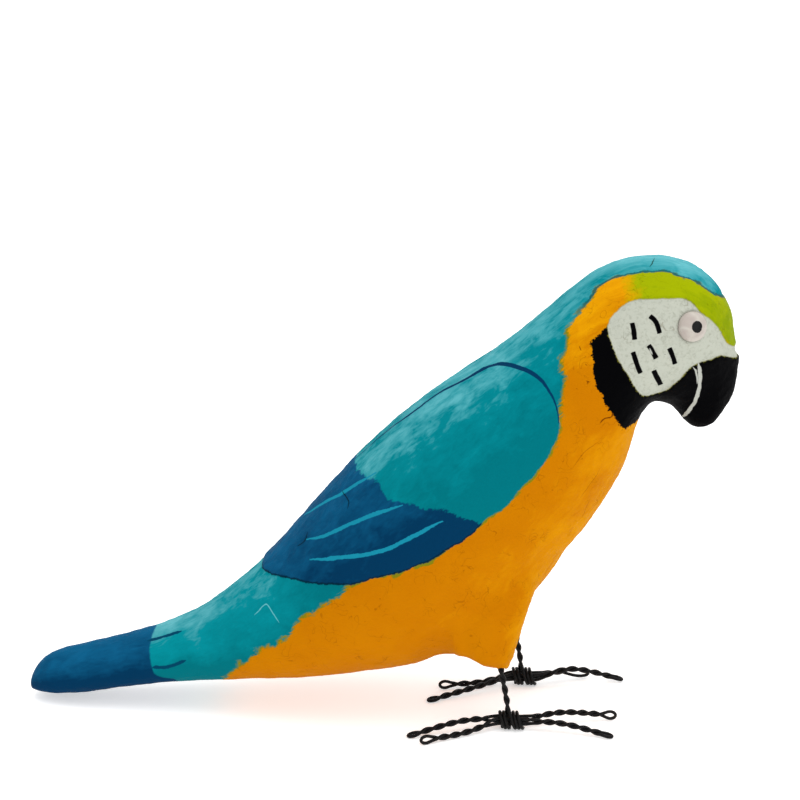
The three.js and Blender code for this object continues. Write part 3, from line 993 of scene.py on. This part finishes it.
    def _relief(self, spots: np.ndarray, measures: dict[str, np.ndarray]) -> np.ndarray:
        """How far the skin stands out of its even form.

        Args:
            spots: the points of the even form.
            measures: its paint edges.

        Returns:
            The height at each point.
        """
        wing, face, breast = measures["wing"], measures["face"], measures["breast"]
        height = self.wing_lip * (smoothstep(wing, -0.6 * MM, 1.6 * MM) - 0.4)
        height *= 1 - smoothstep(np.abs(wing), 3 * MM, 16 * MM) * (wing < 0)
        head = smoothstep(spots[:, 0], 84 * MM, 92 * MM) * smoothstep(spots[:, 2], 140 * MM, 150 * MM)
        height -= self.face_sink * smoothstep(face, -0.8 * MM, 1.2 * MM) * head
        beak = smoothstep(measures["beard"], 0, 1.5 * MM) * smoothstep(-face, 0, 1.5 * MM)
        height += self.beak_lip * beak * smoothstep(spots[:, 0], 129 * MM, 136 * MM)
        fold = np.exp(-(((breast + 1.2 * MM) / (1.1 * MM)) ** 2))
        height -= self.crease * fold * smoothstep(spots[:, 2], 172 * MM, 184 * MM)
        front = smoothstep(spots[:, 0], 139 * MM, 146 * MM)
        height -= self.bill_slim * front * (1 - smoothstep(spots[:, 2], 153 * MM, 160 * MM))
        height += self.forehead_swell * front * np.exp(-(((spots[:, 2] - 178 * MM) / (7 * MM)) ** 2))
        height += self._legs_relief(spots, measures)
        groove = np.exp(-((measures["mouth"] / (0.9 * MM)) ** 2))
        groove *= smoothstep(measures["mouth_end"], -0.9 * MM, MM)
        height -= self.mouth_groove * groove * head
        lumps = np.empty(len(spots))
        for index, spot in enumerate(spots.tolist()):
            place = Vector(spot)
            large = noise.noise(place * (1 / (24 * MM)))
            small = noise.noise(place * (1 / (8 * MM)))
            bent = Vector((place.x + 0.004 * large, place.y, place.z + 0.004 * small))
            ridge = 1 - abs(noise.noise(Vector((bent.x * 0.45, bent.y, bent.z)) * (1 / (5 * MM))))
            lumps[index] = 0.32 * large + 0.16 * small + 0.22 * ridge**6
        seats = np.ones(len(spots))
        along, out, up = self.eye_middle
        for side in Side:
            eye = np.array([along, side.value * out, up])
            seats *= smoothstep(np.linalg.norm(spots - eye, axis=1), 6.5 * MM, 9 * MM)
        return height * np.maximum(seats, 0.0) + lumps * MM * (0.25 + 0.75 * seats)

    @staticmethod
    def _legs_relief(spots: np.ndarray, measures: dict[str, np.ndarray]) -> np.ndarray:
        """The fuller fronts of the thighs and the flat arch between them and the belly.

        Args:
            spots: the points of the even form.
            measures: its paint edges.

        Returns:
            The height at each point.
        """
        along, up = spots[:, 0], spots[:, 2]
        near = 1 - smoothstep(np.abs(np.abs(spots[:, 1]) - LEG_SPACING / 2), 12 * MM, 18 * MM)
        under = smoothstep(-measures["upward"], 0.05, 0.6) * smoothstep(up, 22 * MM, 28 * MM)
        arch = 2.4 * near * np.exp(-(((along - 37.5 * MM) / (4.5 * MM)) ** 2))
        arch -= 1.1 * np.exp(-(((along - 27.5 * MM) / (6 * MM)) ** 2))
        full = 2.3 * smoothstep(up, 18 * MM, 32 * MM) * (1 - smoothstep(up, 62 * MM, 80 * MM)) - 1.0
        full *= 1 - smoothstep(up, 72 * MM, 84 * MM)
        front = smoothstep(measures["forward"], 0.2, 0.8) * smoothstep(along, 42 * MM, 48 * MM)
        return (arch * under + np.maximum(full, -1.0) * front) * MM

    @staticmethod
    def _store(mesh: bpy.types.Mesh, spots: np.ndarray) -> None:
        """Moves a mesh's points.

        Args:
            mesh: the mesh.
            spots: where they go.
        """
        mesh.vertices.foreach_set("co", spots.astype(np.float32).ravel())
        mesh.update()


@dataclass
class BeadEye:
    """A domed bead with a flat back and a soft edge, and the pupil's place on it."""

    side: Side
    rim: float = 0.35 * MM
    pupil_along: float = -0.05 * MM
    pupil_up: float = 0.1 * MM
    pupil_half_along: float = 2.3 * MM
    pupil_half_up: float = 2.35 * MM
    steps: int = 56
    arc_steps: int = 18

    @property
    def node(self) -> str:
        """The CAD node it stands for."""
        return f"eye_{self.side.name.lower()}"

    def build(self, material: bpy.types.Material) -> bpy.types.Object:
        """Spins the bead and paints its pupil.

        Args:
            material: the pearl.

        Returns:
            The finished piece.
        """
        place, radius, back, dome = self._seat()
        bead = bmesh.new()
        outline = [(0, back), (radius - self.rim, back), (radius, back + self.rim)]
        arc = np.linspace(0, math.pi / 2, self.arc_steps)[:-1]
        outline += [(radius * math.cos(turn), dome * math.sin(turn)) for turn in arc]
        outline.append((0, dome))
        profile = [bead.verts.new((across, 0, up)) for across, up in outline]
        rims = [bead.edges.new(pair) for pair in zip(profile, profile[1:])]
        bmesh.ops.spin(bead, geom=profile + rims, cent=(0, 0, 0), axis=(0, 0, 1), angle=2 * math.pi,
                       steps=self.steps, use_merge=True)
        bmesh.ops.remove_doubles(bead, verts=bead.verts, dist=0.001 * MM)
        bmesh.ops.transform(bead, matrix=place, verts=bead.verts)
        bmesh.ops.recalc_face_normals(bead, faces=bead.faces)
        mesh = bpy.data.meshes.new(self.node)
        bead.to_mesh(mesh)
        bead.free()
        inverse = place.inverted()
        depth = []
        for vertex in mesh.vertices:
            spot = inverse @ vertex.co
            reach = math.hypot((spot.x - self.pupil_along) / self.pupil_half_along,
                               (spot.y - self.pupil_up) / self.pupil_half_up)
            depth.append((1 - reach) * self.pupil_half_along)
        mesh.attributes.new("pupil", "FLOAT", "POINT").data.foreach_set("value", depth)
        return stand_in_for(self.node, f"bead_{self.side.name.lower()}", mesh, material)

    def _seat(self) -> tuple[Matrix, float, float, float]:
        """Where the CAD bead sits.

        Returns:
            Its frame, with x forwards along the head and z out of it, its radius, and its back's and dome's
            heights.
        """
        points = np.array([tuple(vertex.co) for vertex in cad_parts[self.node].data.vertices])
        points = np.unique(points.round(7), axis=0)
        _, _, ways = np.linalg.svd(points - points.mean(0), full_matrices=False)
        out = Vector(ways[2])
        out = out if out.y * self.side.value > 0 else -out
        heights = points @ np.array(out)
        flat = points[heights < heights.min() + 0.01 * MM]
        centre = Vector((flat.min(0) + flat.max(0)) / 2)
        radius = float(np.linalg.norm(flat - np.array(centre), axis=1).max())
        rise = float(heights.max() - heights.min())
        across = np.linalg.norm(np.cross(points - np.array(centre), np.array(out)), axis=1)
        wide = points[across > radius - 0.02 * MM]
        back = -float((wide @ np.array(out)).max() - heights.min())
        forwards = (Vector((1, 0, 0)) - out * out.x).normalized()
        up = out.cross(forwards)
        up = up if up.z > 0 else -up
        place = Matrix((forwards, up, out)).transposed().to_4x4()
        place.translation = centre + out * -back
        return place, radius, back, rise + back


@dataclass(frozen=True)
class Toe:
    """One toe: its tip from its ankle, and how it bows and ends, as in the solids."""

    tip: tuple[float, float]
    arch: float
    lean: float
    stretch: float = 1.0


@dataclass(frozen=True)
class Foot:
    """One foot's places along the bird and its four toes, in percent of the length."""

    side: Side
    thigh: float
    ankle: float
    inner: tuple[Toe, Toe]
    outer: tuple[Toe, Toe]


FEET = (
    Foot(Side.RIGHT, 18.3, 19.8, (Toe((15.2, 3.5), 0.8, 75), Toe((-14.5, -3.6), 0.7, 0)),
         (Toe((14.4, -2.2), 0.7, 0), Toe((-12.6, -5.85), -0.5, 100))),
    Foot(Side.LEFT, 20.4, 21.8, (Toe((15, 2.1), 1.5, 0), Toe((-14.1, -6.8), 0, 0)),
         (Toe((10.1, 3), 0.4, 60, 1.9), Toe((-12.6, -2.4), -0.5, 100))),
)


@dataclass
class WireFoot:
    """A leg of twisted wire, coiled round two endless wires that are folded into four toes."""

    foot: Foot
    wire: float = 1.4 * MM
    twist: float = 10.5 * MM
    twist_slack: float = 1.04
    thigh_end: float = 9.5 * PERCENT
    socket: float = 8 * MM
    coil_turns: float = 2.25
    coil_spread: float = 1.1
    coil_entry: float = 0.8
    coil_steps: int = 24
    coil_gap: float = 1.8 * MM
    coil_slant: float = math.radians(16)
    leg_split: float = 2.6
    strand_offset: float = 1.25 * MM
    toe_opening: float = 5 * MM
    eyelet_length: float = 6.8 * MM
    eyelet_width: float = 4.6 * MM
    eyelet_open: float = 0.9
    bow_place: float = 0.4
    clearance: float = 0.3 * MM
    step: float = 0.6 * MM

    def __post_init__(self) -> None:
        """Works out what follows from the gauge."""
        self.radius = self.wire / 2
        self.pair = self.twist_slack * self.radius
        self.coil_radius = self.strand_offset * math.sqrt(2) + self.wire + self.clearance
        self.coil_pitch = self.coil_spread * self.wire
        self.coil_shift = math.tan(self.coil_slant)
        self.coil_end = self.coil_gap / 2 + self.coil_turns * self.coil_pitch
        self.coil_end += self.coil_shift * self.coil_radius
        y = self.foot.side.value * LEG_SPACING / 2
        self.ankle = Vector((self.foot.ankle * PERCENT, y, self.coil_radius + self.radius))
        self.top = Vector((self.foot.thigh * PERCENT, y, self.thigh_end))

    def build(self, material: bpy.types.Material) -> list[bpy.types.Object]:
        """Bends the foot's three wires.

        Args:
            material: the wire's.

        Returns:
            The leg and the inner and outer toes.
        """
        side = self.foot.side.name.lower()
        made = [self._drawn(self._leg(), False, f"leg_{side}", material)]
        for name, toes, sign in (("inner", self.foot.inner, -1), ("outer", self.foot.outer, 1)):
            start = self.ankle + Vector((0, sign * self.foot.side.value * self.strand_offset, 0))
            path = self._toe(start, toes[0]) + self._toe(start, toes[1])[::-1]
            made.append(self._drawn(path, True, f"toes_{side}_{name}", material))
        return made

    def _toe(self, start: Vector, toe: Toe) -> list[Vector]:
        """One toe's path, out along a strand, round the eyelet and back.

        Args:
            start: where it begins under the ankle.
            toe: the toe.

        Returns:
            The path's points.
        """
        length, width = self.eyelet_length * toe.stretch - self.wire, self.eyelet_width - self.wire
        lean = math.radians(toe.lean)
        leave = start + Vector((math.copysign(self.coil_end, toe.tip[0]), 0, 0))
        end = Vector((self.ankle.x + toe.tip[0] * PERCENT, self.ankle.y + toe.tip[1] * PERCENT,
                      self.radius + width / 2 * math.sin(lean)))
        bow = leave.lerp(end, self.bow_place) + Vector((0, 0, toe.arch * PERCENT))
        axis = Axis([start, leave, bow, end])
        opening = self.coil_end + self.toe_opening
        eyelet = axis.length - self.radius - self.eyelet_open * length
        half_turns = round(2 * (eyelet - opening) / self.twist - 0.5 + lean / math.pi)
        whole = math.pi / 2 - lean + half_turns * math.pi

        def strand(sign: int) -> list[Vector]:
            """One of the toe's two strands, from the ankle to its eyelet.

            Args:
                sign: which of the two.

            Returns:
                Its points.
            """
            points = []
            for along in np.linspace(0.25 * self.coil_end, eyelet, round(eyelet / self.step)):
                closing = min(max((along - self.coil_end) / self.toe_opening, 0), 1)
                closing *= closing * (3 - 2 * closing)
                offset = self.strand_offset + (self.pair - self.strand_offset) * closing
                angle = math.pi / 2 - whole * max(0, along - opening) / (eyelet - opening)
                points.append(axis.beside(along, sign * offset, angle))
            return points

        loop = []
        for degrees in range(110, -111, -20):
            turn = math.radians(degrees)
            back = self.radius + length / 2 * (1 - math.cos(turn))
            loop.append(axis.beside(axis.length - back, width / 2 * math.sin(turn), math.pi / 2 - whole))
        return strand(1) + loop + strand(-1)[::-1]

    def _leg(self) -> list[Vector]:
        """The leg's path, from one coil up into the thigh and back down to the other.

        Returns:
            The path's points.
        """
        down = (self.ankle - self.top).normalized()
        top = self.top + down * (self.clearance + self.radius - self.socket)
        split = self.ankle - down * (self.coil_radius + self.leg_split * self.wire)
        reach = (split - top).length
        half_turns = round(2 * reach / self.twist)

        def half(sign: int) -> list[Vector]:
            """One of the leg's two strands, from the thigh to the end of its coil.

            Args:
                sign: which of the two.

            Returns:
                Its points.
            """
            points = []
            for along in np.linspace(self.radius, reach, round(reach / self.step)):
                turn = math.pi * half_turns * (1 - (along - self.radius) / (reach - self.radius))
                out = Vector((math.sin(turn), math.cos(turn), 0)) * (sign * self.pair)
                points.append(top + out + down * along)
            rise = self.coil_entry * self.coil_radius
            entry = -sign * self.coil_gap / 2
            passing = self.ankle + Vector((entry - self.coil_shift * rise, sign * rise, rise))
            first = self.ankle + Vector((entry, sign * self.coil_radius, 0))
            points += Axis([points[-2], points[-1], passing, first]).spots(self.step)[4:-1]
            steps = round(self.coil_turns * self.coil_steps)
            for step in range(steps + 1):
                turn = 2 * math.pi * step / self.coil_steps
                along = self.coil_gap / 2 + self.coil_pitch * step / self.coil_steps
                out, up = self.coil_radius * math.cos(turn), -self.coil_radius * math.sin(turn)
                points.append(self.ankle + Vector((-sign * along - self.coil_shift * up, sign * out, up)))
            return points

        return half(1)[::-1] + [top] + half(-1)

    def _drawn(self, path: list[Vector], closed: bool, name: str,
               material: bpy.types.Material) -> bpy.types.Object:
        """Draws round wire along a path, with the slight unevenness of bending by hand.

        Args:
            path: the path's points.
            closed: whether it is an endless loop.
            name: the CAD node's name, which the piece takes its own from.
            material: the wire's.

        Returns:
            The finished piece.
        """
        points = np.array([tuple(point) for point in path])
        for _ in range(2):
            before, after = np.roll(points, 1, axis=0), np.roll(points, -1, axis=0)
            softened = (before + 2 * points + after) / 4
            points = softened if closed else np.vstack([points[:1], softened[1:-1], points[-1:]])
        curve = bpy.data.curves.new(name, "CURVE")
        curve.dimensions = "3D"
        curve.bevel_depth = self.radius
        curve.bevel_resolution = 3
        curve.use_fill_caps = not closed
        spline = curve.splines.new("POLY")
        spline.points.add(len(points) - 1)
        for point, spot in zip(spline.points, points):
            shake = noise.noise_vector(Vector(spot) * (1 / (7 * MM))) * (0.06 * MM)
            shake.z = max(shake.z, -0.02 * MM)
            point.co = (*(Vector(spot) + shake), 1)
        spline.use_cyclic_u = closed
        rough = bpy.data.objects.new(name + "_path", curve)
        bpy.context.scene.collection.objects.link(rough)
        return stand_in_for(name, f"wire_{name}", keep_shape(rough), material)


class Axis:
    """A smooth line through a few points, walked by length."""

    def __init__(self, corners: list[Vector], samples: int = 60) -> None:
        """Works the line out.

        Args:
            corners: the points it passes.
            samples: how many points each span becomes.
        """
        line = [corners[0] * 2 - corners[1], *corners, corners[-1] * 2 - corners[-2]]
        spots = []
        for before, here, there, after in zip(line, line[1:], line[2:], line[3:]):
            pairs = ((before, here), (here, there), (there, after))
            gaps = [max(math.sqrt((b - a).length), 1e-6) for a, b in pairs]
            leave = ((here - before) / gaps[0] - (there - before) / (gaps[0] + gaps[1])
                     + (there - here) / gaps[1]) * gaps[1]
            arrive = ((there - here) / gaps[1] - (after - here) / (gaps[1] + gaps[2])
                      + (after - there) / gaps[2]) * gaps[1]
            for step in range(samples):
                t = step / samples
                spots.append(here * (2 * t**3 - 3 * t**2 + 1) + leave * (t**3 - 2 * t**2 + t)
                             + there * (3 * t**2 - 2 * t**3) + arrive * (t**3 - t**2))
        spots.append(corners[-1])
        self.points = np.array([tuple(spot) for spot in spots])
        self.walked = np.concatenate([[0], np.cumsum(np.linalg.norm(np.diff(self.points, axis=0), axis=1))])
        self.length = float(self.walked[-1])

    def at(self, along: float) -> Vector:
        """The point at a length along the line."""
        return Vector([float(np.interp(along, self.walked, self.points[:, axis])) for axis in range(3)])

    def beside(self, along: float, offset: float, angle: float) -> Vector:
        """A point beside the line.

        Args:
            along: how far along it.
            offset: how far from it.
            angle: turned from level, to its left, upwards.

        Returns:
            The point.
        """
        nudge = 0.3 * MM
        before, after = max(along - nudge, 0), min(along + nudge, self.length)
        way = (self.at(after) - self.at(before)).normalized()
        left = Vector((0, 0, 1)).cross(way).normalized()
        above = way.cross(left)
        return self.at(along) + left * (offset * math.cos(angle)) + above * (offset * math.sin(angle))

    def spots(self, step: float) -> list[Vector]:
        """Evenly spaced points along the line."""
        return [self.at(along) for along in np.linspace(0, self.length, max(3, round(self.length / step)))]


@dataclass(frozen=True)
class SoftLight:
    """One soft box of the studio."""

    name: str
    place: tuple[float, float, float]
    size: float
    power: float
    tint: tuple[float, float, float] = (1, 1, 1)

    def hang(self, target: Vector) -> None:
        """Hangs it, turned to the bird.

        Args:
            target: what it is turned to.
        """
        lamp = bpy.data.lights.new(self.name, "AREA")
        lamp.shape = "DISK"
        lamp.size = self.size
        lamp.energy = self.power
        lamp.color = self.tint
        box = bpy.data.objects.new(self.name, lamp)
        box.location = self.place
        box.rotation_euler = (target - Vector(self.place)).to_track_quat("-Z", "Y").to_euler()
        bpy.context.scene.collection.objects.link(box)


@dataclass
class Studio:
    """The camera, the floor, the light and the white surroundings."""

    target: Vector
    eye: Vector
    lens: float = 80
    surroundings: float = 1.0

    def build(self) -> None:
        """Sets the studio up, camera first."""
        scene = bpy.context.scene
        camera = bpy.data.cameras.new("camera")
        camera.lens = self.lens
        camera.sensor_width = 36
        viewer = bpy.data.objects.new("camera", camera)
        viewer.location = self.eye
        viewer.rotation_euler = (self.target - self.eye).to_track_quat("-Z", "Y").to_euler()
        scene.collection.objects.link(viewer)
        scene.camera = viewer
        slab = bmesh.new()
        bmesh.ops.create_grid(slab, x_segments=1, y_segments=1, size=6)
        mesh = bpy.data.meshes.new("floor")
        slab.to_mesh(mesh)
        slab.free()
        mesh.materials.append(StudioFloor().mixed())
        floor = bpy.data.objects.new("floor", mesh)
        scene.collection.objects.link(floor)
        world = bpy.data.worlds.new("surroundings")
        scene.world = world
        world.use_nodes = True
        world.node_tree.nodes["Background"].inputs["Color"].default_value = (1, 1, 1, 1)
        world.node_tree.nodes["Background"].inputs["Strength"].default_value = self.surroundings
        scene.view_settings.view_transform = "Standard"
        for lamp in (
            SoftLight("overhead", (0.1, -0.1, 1.3), 1.3, 8),
            SoftLight("front", (0.9, -0.8, 0.5), 1.0, 3),
        ):
            lamp.hang(self.target)


def main() -> None:
    """Builds the studio and every piece of the bird."""
    logging.basicConfig(level=logging.INFO, format="%(message)s")
    noise.seed_set(SHAKE_SEED)
    Studio(target=Vector((11.6, 0, 137.5)) * MM, eye=Vector((48.7, -707.0, 340.5)) * MM).build()
    PaperSkin().build(PaintedPaper().mixed())
    pearl = PearlBead().mixed()
    for side in Side:
        BeadEye(side).build(pearl)
    wire = AnnealedWire().mixed()
    for foot in FEET:
        WireFoot(foot).build(wire)


if __name__ == "__main__":
    main()
